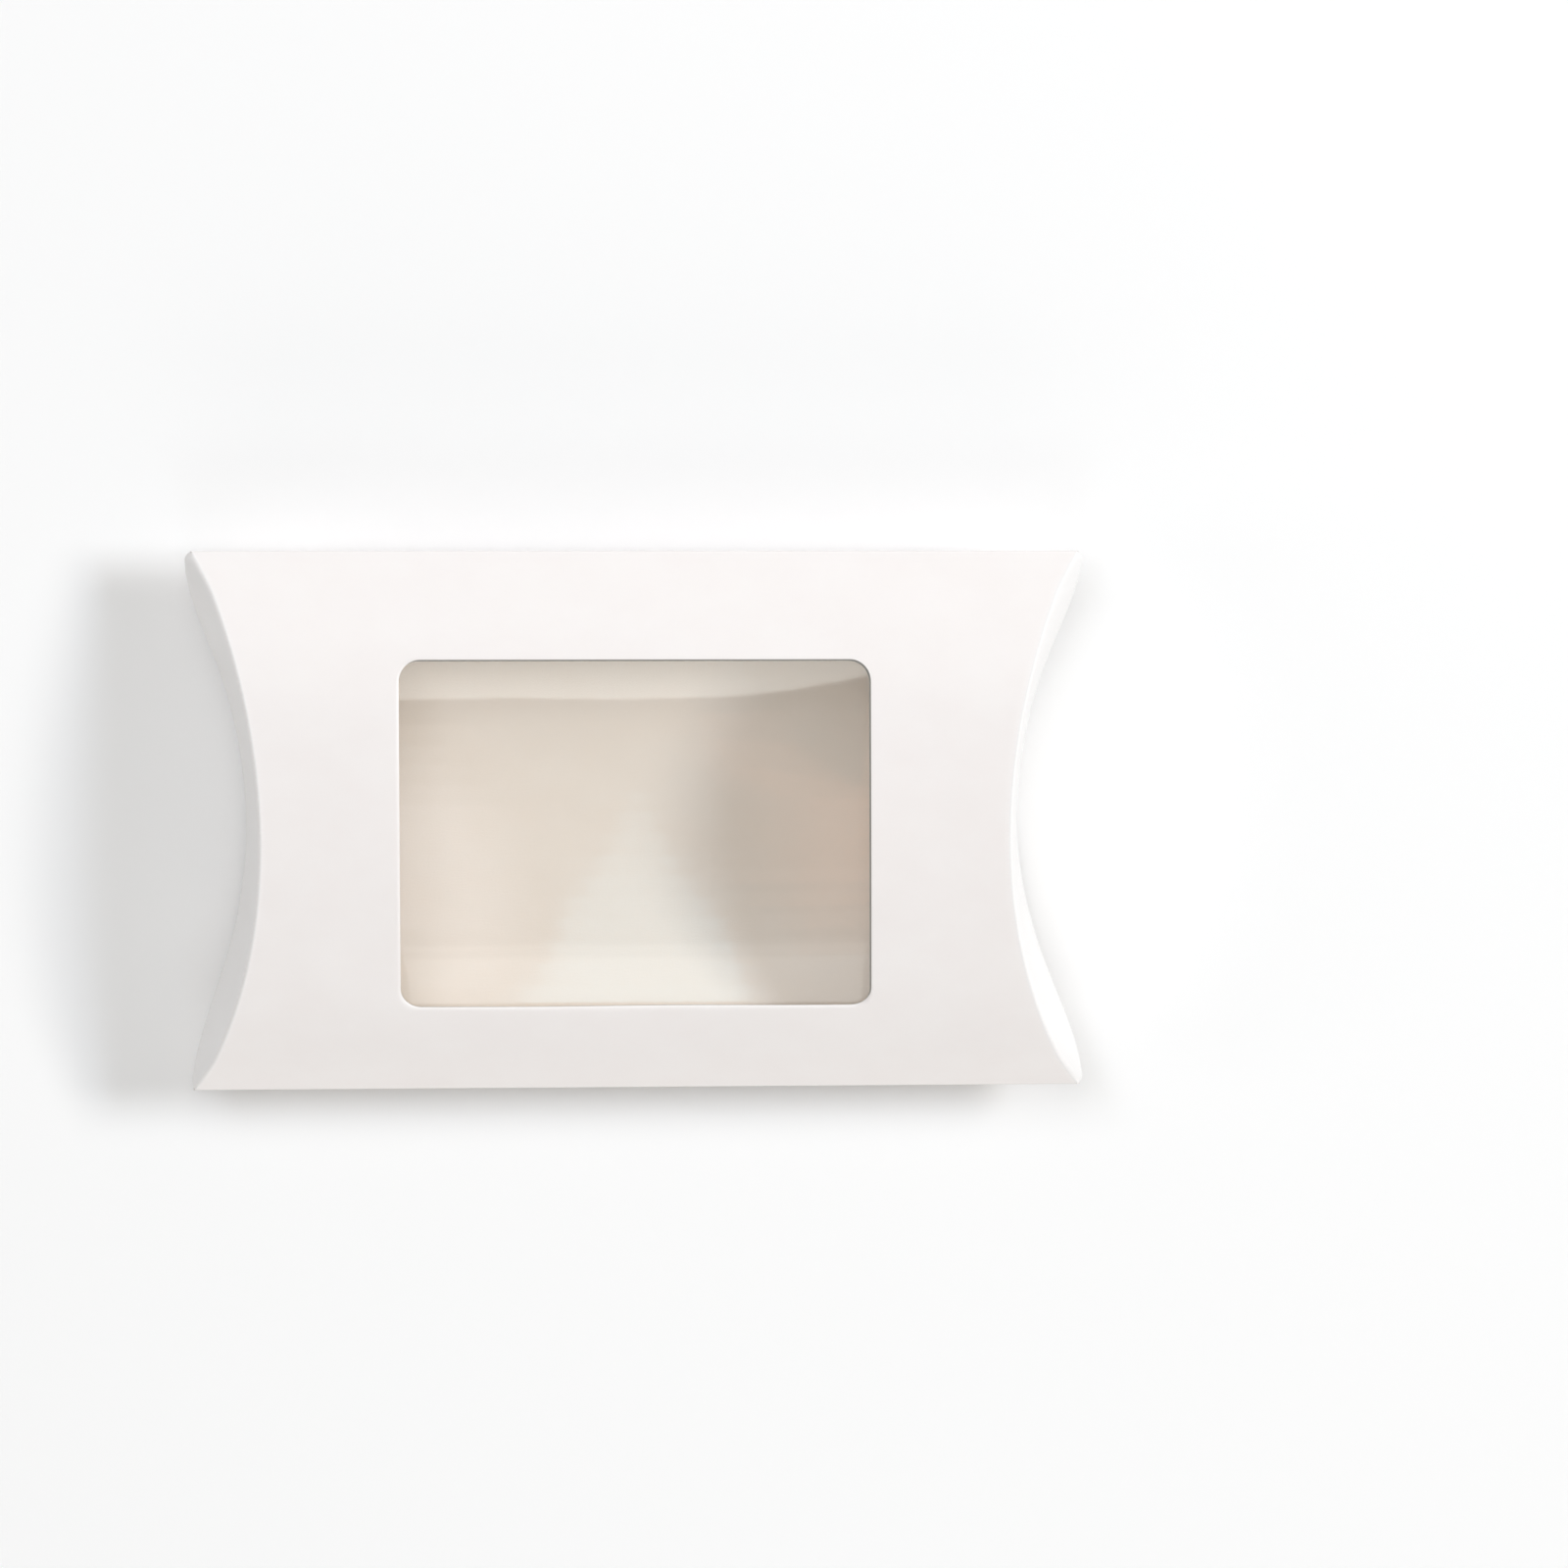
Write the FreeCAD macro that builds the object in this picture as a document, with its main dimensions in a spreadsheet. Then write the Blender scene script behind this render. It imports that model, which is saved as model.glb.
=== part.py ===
import FreeCAD, Part
import os
import Sketcher

# Pillow box with a film window, lying on its back panel.
# X runs along the length, Y across the breadth, Z up through the window.
# The origin is under the middle of the box, where the back panel rests.
# Both panels are arcs of one cylinder, and an end flap is the same arc stood on end, so panel and
# flap meet on one curved crease that lies in a plane at 45 degrees.

SIZES = (
    # length from corner to corner, breadth between the long edges, thickness between the crowns
    ("box_length", 125),
    ("box_breadth", 80),
    ("box_thickness", 20),
    # coated board, the room left where two boards meet at a crease, and between closed flaps
    ("board_thickness", 0.4),
    ("crease_clearance", 0.1),
    ("layer_clearance", 0.2),
    # window in the front panel: the board left beside the long edges, and before the corners
    ("window_edge_border", 14),
    ("window_end_border", 29.5),
    ("window_radius", 3),
    # film patch behind the window and the frame of adhesive that holds it
    ("film_margin", 8),
    ("film_thickness", 0.15),
    ("film_glue_setback", 1.5),
    ("glue_thickness", 0.1),
    # hairline left on both faces of a layer of adhesive
    ("glue_clearance", 0.05),
    # tab on the front panel's upper long edge, glued inside the back panel
    ("tab_breadth", 16),
    ("tab_end_clearance", 4),
    ("seam_glue_setback", 2),
    # end flaps: outer ones cover the whole end, inner ones stop a little past the middle
    ("outer_tip_relief", 1),
    ("outer_edge_setback", 0.3),
    ("inner_tip_relief", 2),
    ("inner_side_taper", 9),
    ("inner_flap_rise", 1),
    # how far every cutting sketch reaches past what it cuts
    ("cut_overrun", 5),
)

doc = FreeCAD.newDocument("PillowBox")
sheet = doc.addObject("Spreadsheet::Sheet", "Sizes")
for row, (alias, size) in enumerate(SIZES, start=1):
    sheet.set(f"A{row}", alias)
    sheet.set(f"B{row}", str(size))
    sheet.setAlias(f"B{row}", alias)
doc.recompute()


def cell(alias):
    """Expression for a driving size on the sheet."""
    return f"Sizes.{alias}"


def leg(hypotenuse, other):
    """Expression for the third side of a right-angled triangle."""
    return f"sqrt(({hypotenuse})^2 - ({other})^2)"


def minus(expression):
    return f"(-({expression}))"


def value(expression):
    """What an expression is worth at the sheet's present sizes."""
    return float(sheet.evalExpression(expression))


# Section of the box: two arcs that meet on the long edges, drawn from the middle plane.
half_length = f"({cell('box_length')} / 2)"
half_breadth = f"({cell('box_breadth')} / 2)"
bulge = f"({cell('box_thickness')} / 2)"
board = cell("board_thickness")
overrun = cell("cut_overrun")
face_radius = f"(({half_breadth}^2 + {bulge}^2) / (2 * {bulge}))"
centre_drop = f"({face_radius} - {bulge})"
liner_radius = f"({face_radius} - {board})"
glue_face = f"({liner_radius} - {cell('glue_clearance')})"
glue_back = f"({glue_face} - {cell('glue_thickness')})"
glued_radius = f"({glue_back} - {cell('glue_clearance')})"

# The tab lies one board and one layer of glue inside the back panel, so it leaves the front panel
# on a plane a little above the middle: the one where the two boards' own middles cross.
tab_radius = f"({glued_radius} - {board})"
front_core = f"({face_radius} - {board} / 2)"
tab_core = f"({glued_radius} - {board} / 2)"
tab_fold = f"(({front_core}^2 - {tab_core}^2) / (4 * {centre_drop}))"

# Ends of the box: arcs about an upright line beyond each end, one behind the other.
end_centre = f"({half_length} + {centre_drop})"
outer_flap_back = f"({face_radius} + {board})"
front_end = f"({outer_flap_back} + {cell('crease_clearance')})"
inner_flap_face = f"({outer_flap_back} + {cell('layer_clearance')})"
inner_flap_back = f"({inner_flap_face} + {board})"
back_end = f"({inner_flap_back} + {cell('crease_clearance')})"


def new_body(label):
    """A body drawn from the box's middle plane and lifted until the back panel rests at zero."""
    body = doc.addObject("PartDesign::Body", label)
    body.Label = label
    body.setExpression("Placement.Base.z", bulge)
    return body


def new_sketch(body, role, name):
    sketch = body.newObject("Sketcher::SketchObject", name)
    plane = next(p for p in body.Origin.OriginFeatures if p.Role == role)
    sketch.AttachmentSupport = [(plane, "")]
    sketch.MapMode = "FlatFace"
    return sketch


def bind(sketch, constraint, expression):
    """Adds a dimension to a sketch and ties it to the sheet."""
    index = sketch.addConstraint(constraint)
    sketch.setExpression(f"Constraints[{index}]", expression)


def draw_outline(sketch, corners):
    """Closes an outline through corners, each a place across and up with the side that leaves it:
    None where that side is straight, or the centre and radius of its arc."""
    places = [FreeCAD.Vector(value(across), value(up), 0) for across, up, bend in corners]
    sides = []
    for index, (across, up, bend) in enumerate(corners):
        start = places[index]
        end = places[(index + 1) % len(places)]
        if bend is None:
            sides.append((sketch.addGeometry(Part.LineSegment(start, end), False), 1, 2))
            continue
        centre_across, centre_up, radius = bend
        centre = FreeCAD.Vector(value(centre_across), value(centre_up), 0)
        outward = (start + end) / 2 - centre
        crown = centre + outward * (value(radius) / outward.Length)
        side = sketch.addGeometry(Part.Arc(start, crown, end), False)
        begins = sketch.getPoint(side, 1)
        forward = begins.distanceToPoint(start) < begins.distanceToPoint(end)
        sides.append((side, 1, 2) if forward else (side, 2, 1))
        bind(sketch, Sketcher.Constraint("Radius", side, value(radius)), radius)
    for index, (across, up, bend) in enumerate(corners):
        side, first, last = sides[index]
        side_before, first_before, last_before = sides[index - 1]
        sketch.addConstraint(Sketcher.Constraint("Coincident", side_before, last_before, side, first))
        bind(sketch, Sketcher.Constraint("DistanceX", -1, 1, side, first, value(across)), across)
        bind(sketch, Sketcher.Constraint("DistanceY", -1, 1, side, first, value(up)), up)


def draw_rectangle(sketch, half_across, half_up):
    draw_outline(sketch, [
        (minus(half_across), minus(half_up), None),
        (half_across, minus(half_up), None),
        (half_across, half_up, None),
        (minus(half_across), half_up, None),
    ])


def draw_rounded_rectangle(sketch, half_across, half_up, radius):
    in_across = f"({half_across} - {radius})"
    in_up = f"({half_up} - {radius})"
    draw_outline(sketch, [
        (minus(in_across), minus(half_up), None),
        (in_across, minus(half_up), (in_across, minus(in_up), radius)),
        (half_across, minus(in_up), None),
        (half_across, in_up, (in_across, in_up, radius)),
        (in_across, half_up, None),
        (minus(in_across), half_up, (minus(in_across), in_up, radius)),
        (minus(half_across), in_up, None),
        (minus(half_across), minus(in_up), (minus(in_across), minus(in_up), radius)),
    ])


def pad(body, sketch, length):
    """Pads a sketch evenly to both sides of its plane."""
    feature = body.newObject("PartDesign::Pad", sketch.Name + "Pad")
    feature.Profile = sketch
    feature.SideType = "Symmetric"
    feature.setExpression("Length", length)
    doc.recompute()


def cut(body, sketch):
    """Cuts a sketch right through the body, and makes sure that it took something away."""
    before = body.Shape.Volume
    feature = body.newObject("PartDesign::Pocket", sketch.Name + "Cut")
    feature.Profile = sketch
    feature.SideType = "Symmetric"
    feature.Type = "ThroughAll"
    doc.recompute()
    if not body.Shape.Volume < before:
        raise RuntimeError(f"{sketch.Name} takes nothing from {body.Label}")


def front_height(radius, across):
    """Height over the middle plane of an arc under the front panel, at a place across the box."""
    return f"({leg(radius, across)} - {centre_drop})"


def draw_strip(sketch, front, outside, inside, low, high):
    """Section of a strip under the front panel or over the back one, between two radii and between
    two places across the box."""
    side = "" if front else "-"
    centre = minus(centre_drop) if front else centre_drop
    draw_outline(sketch, [
        (low, f"({side}{front_height(outside, low)})", ("0", centre, outside)),
        (high, f"({side}{front_height(outside, high)})", None),
        (high, f"({side}{front_height(inside, high)})", ("0", centre, inside)),
        (low, f"({side}{front_height(inside, low)})", None),
    ])


def cut_ends(body, radius):
    """Trims both ends of a panel to the arc that the end flap behind it follows."""
    sketch = new_sketch(body, "XY_Plane", body.Label + "_ends")
    reach = f"({half_breadth} + {overrun})"
    arc_start = f"({end_centre} - {leg(radius, reach)})"
    edge = f"({half_length} + {overrun})"
    for mirror in ("", "-"):
        draw_outline(sketch, [
            (f"({mirror}{arc_start})", minus(reach), (f"({mirror}{end_centre})", "0", radius)),
            (f"({mirror}{arc_start})", reach, None),
            (f"({mirror}{edge})", reach, None),
            (f"({mirror}{edge})", minus(reach), None),
        ])
    cut(body, sketch)


# Front panel: folds down to the back panel on the lower long edge and to the tab on the upper one.
front_panel = new_body("front_panel")
section = new_sketch(front_panel, "YZ_Plane", "front_section")
fold_offset = f"({centre_drop} + {tab_fold})"
draw_outline(section, [
    (minus(half_breadth), "0", ("0", minus(centre_drop), face_radius)),
    (leg(face_radius, fold_offset), tab_fold, None),
    (leg(liner_radius, fold_offset), tab_fold, ("0", minus(centre_drop), liner_radius)),
    (minus(leg(liner_radius, centre_drop)), "0", None),
])
pad(front_panel, section, cell("box_length"))
cut_ends(front_panel, front_end)
window = new_sketch(front_panel, "XY_Plane", "window")
window_across = f"({half_length} - {cell('window_end_border')})"
window_up = f"({half_breadth} - {cell('window_edge_border')})"
draw_rounded_rectangle(window, window_across, window_up, cell("window_radius"))
cut(front_panel, window)

# Back panel: its upper long edge is bare and laps over the tab.
back_panel = new_body("back_panel")
section = new_sketch(back_panel, "YZ_Plane", "back_section")
draw_outline(section, [
    (minus(half_breadth), "0", ("0", centre_drop, face_radius)),
    (half_breadth, "0", None),
    (leg(liner_radius, centre_drop), "0", ("0", centre_drop, liner_radius)),
    (minus(leg(liner_radius, centre_drop)), "0", None),
])
pad(back_panel, section, cell("box_length"))
cut_ends(back_panel, back_end)

# Glue tab: its ends slope back beside the creases, clear of the end flaps.
glue_tab = new_body("glue_tab")
section = new_sketch(glue_tab, "YZ_Plane", "tab_section")
tab_edge = f"({half_breadth} - {cell('tab_breadth')})"
tab_offset = f"({centre_drop} - {tab_fold})"
draw_outline(section, [
    (leg(glued_radius, tab_offset), tab_fold, None),
    (leg(tab_radius, tab_offset), tab_fold, ("0", centre_drop, tab_radius)),
    (tab_edge, minus(front_height(tab_radius, tab_edge)), None),
    (tab_edge, minus(front_height(glued_radius, tab_edge)), ("0", centre_drop, glued_radius)),
])
pad(glue_tab, section, cell("box_length"))
slopes = new_sketch(glue_tab, "XY_Plane", "tab_ends")
past_edge = f"({tab_edge} - {overrun})"
past_fold = f"({half_breadth} + {overrun})"
end_room = f"({back_end} + {cell('tab_end_clearance')})"
corner_at_edge = f"({end_centre} - {leg(end_room, past_edge)})"
corner_at_fold = f"({end_centre} - {leg(end_room, half_breadth)})"
past_end = f"({half_length} + {overrun})"
for mirror in ("", "-"):
    draw_outline(slopes, [
        (f"({mirror}{corner_at_edge})", past_edge, None),
        (f"({mirror}{corner_at_fold})", half_breadth, None),
        (f"({mirror}{corner_at_fold})", past_fold, None),
        (f"({mirror}{past_end})", past_fold, None),
        (f"({mirror}{past_end})", past_edge, None),
    ])
cut(glue_tab, slopes)

# Adhesive between the tab and the back panel, kept back from the tab's edges.
seam_glue = new_body("seam_glue")
section = new_sketch(seam_glue, "YZ_Plane", "seam_section")
seam_low = f"({tab_edge} + {cell('seam_glue_setback')})"
seam_high = f"({half_breadth} - {cell('seam_glue_setback')} - {board})"
draw_strip(section, False, glue_face, glue_back, seam_low, seam_high)
seam_room = f"({end_centre} - {leg(end_room, seam_low)} - {cell('seam_glue_setback')})"
pad(seam_glue, section, f"(2 * {seam_room})")

# Clear film behind the window.
film_across = f"({window_across} + {cell('film_margin')})"
film_up = f"({window_up} + {cell('film_margin')})"
film_radius = f"({glued_radius} - {cell('film_thickness')})"
window_film = new_body("window_film")
section = new_sketch(window_film, "YZ_Plane", "film_section")
draw_strip(section, True, glued_radius, film_radius, minus(film_up), film_up)
pad(window_film, section, f"(2 * {film_across})")

# Frame of adhesive round the window, between the film and the front panel.
window_glue = new_body("window_glue")
section = new_sketch(window_glue, "YZ_Plane", "frame_section")
setback = cell("film_glue_setback")
frame_up = f"({film_up} - {setback})"
draw_strip(section, True, glue_face, glue_back, minus(frame_up), frame_up)
pad(window_glue, section, f"(2 * ({film_across} - {setback}))")
frame_opening = new_sketch(window_glue, "XY_Plane", "frame_opening")
draw_rounded_rectangle(frame_opening, f"({window_across} + {setback})",
                       f"({window_up} + {setback})", cell("window_radius"))
cut(window_glue, frame_opening)


def new_flap(label, mirror, face, back, half_span, draw_elevation):
    """An end flap: an upright arc of board, trimmed to the outline that it has seen from the end."""
    body = new_body(label)
    plan = new_sketch(body, "XY_Plane", label + "_plan")
    centre = f"({mirror}{end_centre})"
    face_tip = f"({mirror}({end_centre} - {leg(face, half_span)}))"
    back_tip = f"({mirror}({end_centre} - {leg(back, half_span)}))"
    draw_outline(plan, [
        (face_tip, minus(half_span), (centre, "0", face)),
        (face_tip, half_span, None),
        (back_tip, half_span, (centre, "0", back)),
        (back_tip, minus(half_span), None),
    ])
    pad(body, plan, cell("box_thickness"))
    elevation = new_sketch(body, "YZ_Plane", label + "_elevation")
    draw_rectangle(elevation, f"({half_breadth} + {overrun})", f"({bulge} + {overrun})")
    draw_elevation(elevation)
    cut(body, elevation)
    return body


outer_half_span = f"({half_breadth} - {cell('outer_tip_relief')})"
outer_edge_centre = f"({centre_drop} + {cell('outer_edge_setback')})"
lens_half = leg(face_radius, f"({centre_drop} + {cell('outer_edge_setback')} / 2)")
lens_up = f"({cell('outer_edge_setback')} / 2)"


def draw_outer_elevation(sketch):
    """The whole end: the crease above, and below it a free edge just short of the back panel's face."""
    draw_outline(sketch, [
        (minus(lens_half), lens_up, ("0", minus(centre_drop), face_radius)),
        (lens_half, lens_up, ("0", outer_edge_centre, face_radius)),
    ])


inner_half_span = f"({half_breadth} - {cell('inner_tip_relief')})"
inner_foot = minus(front_height(face_radius, inner_half_span))
inner_top_half = f"({inner_half_span} - {cell('inner_side_taper')})"
inner_rise = cell("inner_flap_rise")


def draw_inner_elevation(sketch):
    """The back crease below, sloped sides and a straight free edge just past the middle."""
    draw_outline(sketch, [
        (minus(inner_half_span), inner_foot, ("0", centre_drop, face_radius)),
        (inner_half_span, inner_foot, None),
        (inner_top_half, inner_rise, None),
        (minus(inner_top_half), inner_rise, None),
    ])


flaps = []
for end_name, mirror in (("left", "-"), ("right", "")):
    flaps.append(new_flap(end_name + "_outer_flap", mirror, face_radius, outer_flap_back,
                          outer_half_span, draw_outer_elevation))
    flaps.append(new_flap(end_name + "_inner_flap", mirror, inner_flap_face, inner_flap_back,
                          inner_half_span, draw_inner_elevation))

pieces = [front_panel, back_panel, glue_tab, seam_glue, window_film, window_glue] + flaps
doc.recompute()
for item in doc.Objects:
    if "Invalid" in item.State or "Error" in item.State:
        raise RuntimeError(f"{item.Label} did not build: {item.State}")
for piece in pieces:
    shape = piece.Shape
    if shape.isNull() or not shape.isValid() or len(shape.Solids) != 1:
        raise RuntimeError(f"{piece.Label} is not one sound solid")

os.makedirs("parts", exist_ok=True)
for piece in pieces:
    piece.Shape.exportStep(os.path.join("parts", piece.Label + ".step"))
    box = piece.Shape.BoundBox
    print(f"{piece.Label}: {piece.Shape.Volume:.1f} mm3, "
          f"x {box.XMin:.2f} to {box.XMax:.2f}, y {box.YMin:.2f} to {box.YMax:.2f}, "
          f"z {box.ZMin:.2f} to {box.ZMax:.2f}")
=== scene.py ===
import math

import bmesh
import bpy
import numpy as np
from mathutils import Matrix, Vector


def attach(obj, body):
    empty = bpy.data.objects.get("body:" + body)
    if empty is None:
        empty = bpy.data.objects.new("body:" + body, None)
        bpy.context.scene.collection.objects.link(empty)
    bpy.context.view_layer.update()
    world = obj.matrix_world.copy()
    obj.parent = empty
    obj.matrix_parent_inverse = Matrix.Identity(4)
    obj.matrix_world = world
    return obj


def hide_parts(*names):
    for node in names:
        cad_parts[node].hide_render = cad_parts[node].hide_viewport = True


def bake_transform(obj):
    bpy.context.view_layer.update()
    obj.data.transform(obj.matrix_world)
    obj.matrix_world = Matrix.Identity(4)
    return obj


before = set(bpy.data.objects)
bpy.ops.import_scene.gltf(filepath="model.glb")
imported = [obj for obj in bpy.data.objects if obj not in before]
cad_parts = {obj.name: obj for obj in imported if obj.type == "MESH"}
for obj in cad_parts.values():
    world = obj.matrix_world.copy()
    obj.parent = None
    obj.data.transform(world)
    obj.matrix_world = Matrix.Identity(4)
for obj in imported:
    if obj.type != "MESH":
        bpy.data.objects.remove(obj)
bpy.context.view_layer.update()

# Main sizes, in millimetres
MM = 0.001
MID_HEIGHT = 10.0          # mid-plane of the box above the table
BULGE = 10.0               # crown of a face above the mid-plane
HALF_LENGTH = 62.5         # tip of the box from its middle
MEET_BREADTH = 40.34       # where the two faces would meet if the fold were sharp
FACE_RADIUS = (MEET_BREADTH ** 2 + BULGE ** 2) / (2 * BULGE)
FACE_DROP = FACE_RADIUS - BULGE    # axis of a face below the mid-plane
BOARD = 0.4                # thickness of the board
LEFT_SPREAD = 0.011        # share by which the left end is broader than the right

# Long folds
FOLD_RADIUS = 0.3          # outside of the fold
TAB_FOLD_RADIUS = 0.3
TAB_FOLD_HEIGHT = 0.12     # fold of the glue tab above the mid-plane
RAW_EDGE = 39.5            # cut long edge of the back panel from the middle line
INSIDE_EVEN = 0.8          # share of a side over which its inside is spaced as its outside is

# End creases and tips
CREASE_LEAN = 0.92         # run of the crease along the length for each unit of its fall
CREASE_ROUND = 0.40        # run of the rounding on each side of a crease
ROUND_LEAST, ROUND_GROWTH = 0.02, 0.4    # that rounding in a tip, and its growth with the height
ROLL_STEPS = 9             # steps of the mesh over the rounding
ROLL_SHARE = 0.25          # most of a flap's depth that the rounding takes
CREASE_BOARD = 0.2         # board pressed thin in a crease
TIP_BOARD, TIP_GROWTH = 0.03, 0.10    # board squeezed in a tip, and its growth with the flap's depth
TIP_INWARD = (0.96, 0.0, 0.28)    # way through the board in a tip
TIP_DEPTH = 1.5            # depth of a flap up to which that holds
TIP_ROUND = 1.4            # length over which the outline of a closed end turns in at its tips
TIP_REACH = 0.5            # length by which a tip is drawn out
TIP_REACH_FROM, TIP_REACH_RUN = 3.0, 2.4    # height of the crease at which that starts, and its run
TIP_CROWDING = 0.8         # share by which the lines of the mesh are closer at the tips

# Window
WINDOW_HALF = (33.4, 25.84)
WINDOW_SHIFT = -0.2        # middle of the window from the middle line
WINDOW_RADIUS = 3.0
WINDOW_ROLL = 0.17         # die-cut edge rolled over
WINDOW_ROLL_LOW = 0.27     # the same along the bottom of the window
WINDOW_ROLL_RUN = 0.5
WINDOW_BEVEL = 0.30        # lean of the cut edge into the window
WINDOW_BEVEL_RUN = 2.0
WINDOW_LEAN = (0.85, 0.85)    # share of that lean on the right side and on the upper side, which also sets the painted shade of the cut edge there

# End flaps
OUTER_FLAP_SETBACK = 0.3   # free edge short of the opposite crease
SETBACK_SHARE = 0.5        # most of the crease's height that this takes
INNER_STEP = 0.6           # inner flap behind the outer one
INNER_FLAP_REACH = 38.2    # half breadth of an inner flap
INNER_FLAP_RISE = 1.0      # its free edge past the middle of the end
INNER_TIP_DEPTH = 0.55
INNER_SIDE_TAPER = 2.4     # growth of its depth away from its tips
INNER_BULGE_SHARE = 0.5    # its swelling as a share of the outer flap's
END_SWELL = {-1: (1.95, 0.00192, 0.15), 1: (0.80, 0.0026, 0.0)}    # at the middle, growth, upward lean
SWELL_TOP = 0.62           # share of the depth at which a flap stands out most
SWELL_LEAN, SWELL_TURN = 1.2, 6    # slope up to there, and how suddenly it ends
SWELL_RETURN = 0.8
BLUNT_FROM, BLUNT_RUN = 24.65, 17.4    # breadth at which the swelling starts to fade, and its run
OUTER_BEND = 8.0           # depth over which an opened outer flap leaves the sleeve
INNER_BEND = 6.0

# Film, glue and tab
FILM_HALF = (41.0, 34.0)
FILM_DEPTH = 0.6           # film's outer face behind the face of the board
FILM_THICKNESS = 0.15
FILM_DIP = 0.33            # dip of the film at its upper right
DIP_FROM, DIP_TO = 6.0, 27.5    # runs from the crown between which it dips
FILM_RISE = 0.15           # rise of the film towards the bottom of the window
RISE_FROM, RISE_TOP, RISE_END = 12.0, 26.7, 27.8    # runs where that starts, is highest and ends
GLUE_DEPTH = 0.45
GLUE_THICKNESS = 0.1
GLUE_OUTER = (39.5, 32.5)
GLUE_INNER = (34.5, 27.5)
TAB_DEPTH = 0.62
TAB_EDGE = 24.0            # free edge of the tab from the middle line
TAB_END_GAP = 5.6          # its ends before the crease
SEAM_GLUE_DEPTH = 0.47
SEAM_GLUE_SPAN = (26.0, 37.4)
SEAM_GLUE_END_GAP = 11.0

# Unevenness of handled board: height, then lengths and phases along the box and across it
BROAD_WAVE, BROAD_LENGTHS, BROAD_PHASES = 0.09, (13.0, 17.0), (0.6, -0.4)
SLANT_WAVE, SLANT_LENGTHS, SLANT_PHASE = 0.05, (7.3, 9.1), 1.1
SHORT_WAVE, SHORT_LENGTHS = 0.03, (4.9, 6.3)
CALM_END, CALM_SIDE = 14.0, 12.0    # runs over which it fades out at the creases and the long folds
BACK_WAVE_SHIFT = (31.0, 12.0)
FLAP_WAVE, FLAP_WAVE_SCALE = 0.8, (1.1, 1.6)
OUTER_WAVE_SHIFT, INNER_WAVE_SHIFT = (8.0, 5.0), (20.0, 5.0)
FLAP_CALM = (6.0, 4.0)     # depths over which it fades out at a flap's crease and free edge
FILM_WAVE, FILM_WAVE_SCALE, FILM_WAVE_SHIFT = 0.12, (1.3, 1.2), (40.0, -15.0)

# Places on the flat blank and layers in the patterns, so that no two pieces share a pattern
BACK_PLACE = -90.0         # back panel beside the front panel
FLAP_PLACE = 70.0          # flaps past the ends
INSIDE_LAYER = 7.0         # inside of a board from its outside
OUTER_FLAP_LAYER, INNER_FLAP_LAYER = 3.0, 5.0
PATCH_LAYER, WINDOW_GLUE_LAYER = 11.0, 13.0

# Widths of rubbed board, and how much of the rubbing the window's edge has
FOLD_WEAR, CREASE_WEAR, WINDOW_WEAR = 1.2, 1.0, 0.5
WINDOW_WEAR_SHARE = 0.5

# Lines of the meshes
ACROSS, ALONG = 124, 84    # points on the long and short sides of a closed outline
CORNER_POINTS = 7          # points of them on half a corner
WINDOW_RINGS = (0, 0.006, 0.014, 0.03)    # shares of the way from the window to the panel's outline
FIELD_START, FIELD_RINGS = 0.06, 26
FIELD_END = 1.6            # in breadths of the long fold, from the panel's outline
FOLD_RINGS = (1.2, 0.95, 0.75, 0.5, 0.25, 0.0)    # in the same breadths
BACK_FOLD_LINES, BACK_LINES, BACK_COLUMNS = 6, 84, 121
FLAP_TIP_LINES, FLAP_LINES, FLAP_ROWS = 10, 115, 26
PATCH_COLUMNS, TAB_LINES, SEAM_LINES, FILM_LINES, GLUE_RINGS = 81, 28, 20, 101, 9

# Material slots of a shell
OUTSIDE, INSIDE, CUT = 0, 1, 2


# The curved face
class Side:
    """One long side of a face: how far its board runs from the crown, and how it ends."""

    def __init__(self, height=0.0, radius=None, edge=None):
        self.height, self.radius = height, radius
        self.level = FACE_DROP + height
        if radius is None:
            self.turn = math.asin(edge / FACE_RADIUS)
            self.reach = self.flat = FACE_RADIUS * self.turn
        else:
            inner = FACE_RADIUS - radius
            self.centre = math.sqrt(inner ** 2 - self.level ** 2)
            self.turn = math.atan2(self.centre, self.level)
            self.flat = FACE_RADIUS * self.turn
            self.reach = self.flat + radius * (math.pi / 2 - self.turn)
        self.start = INSIDE_EVEN * self.flat

    def section(self, run, depth):
        """Breadth and height over the mid-plane of points at a run from the crown, inside the board."""
        angle = np.minimum(run, self.flat) / FACE_RADIUS
        if self.radius is None:
            size = FACE_RADIUS - depth
            return size * np.sin(angle), size * np.cos(angle) - FACE_DROP
        if np.all(np.asarray(depth) == 0):
            # Outer face, rolled over the fold
            over = np.maximum(run - self.flat, 0.0) / self.radius
            turned = self.turn + over
            y_fold = self.centre + self.radius * np.sin(turned)
            z_fold = self.height + self.radius * np.cos(turned)
            y_face = FACE_RADIUS * np.sin(angle)
            z_face = FACE_RADIUS * np.cos(angle) - FACE_DROP
            return np.where(run > self.flat, y_fold, y_face), np.where(run > self.flat, z_fold, z_face)
        # Inner face, spaced so that it ends on the level of the fold
        size = FACE_RADIUS - depth
        last = np.arccos(np.minimum(self.level / size, 1.0))
        begin = self.start / FACE_RADIUS
        share = (run - self.start) / (self.reach - self.start)
        angle = np.where(run > self.start, begin + share * (last - begin), run / FACE_RADIUS)
        return size * np.sin(angle), size * np.cos(angle) - FACE_DROP


LONG_FOLD = Side(radius=FOLD_RADIUS)
TAB_FOLD = Side(height=TAB_FOLD_HEIGHT, radius=TAB_FOLD_RADIUS)
CUT_EDGE = Side(edge=RAW_EDGE)
FRONT = (LONG_FOLD, TAB_FOLD)
BACK = (LONG_FOLD, CUT_EDGE)


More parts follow.
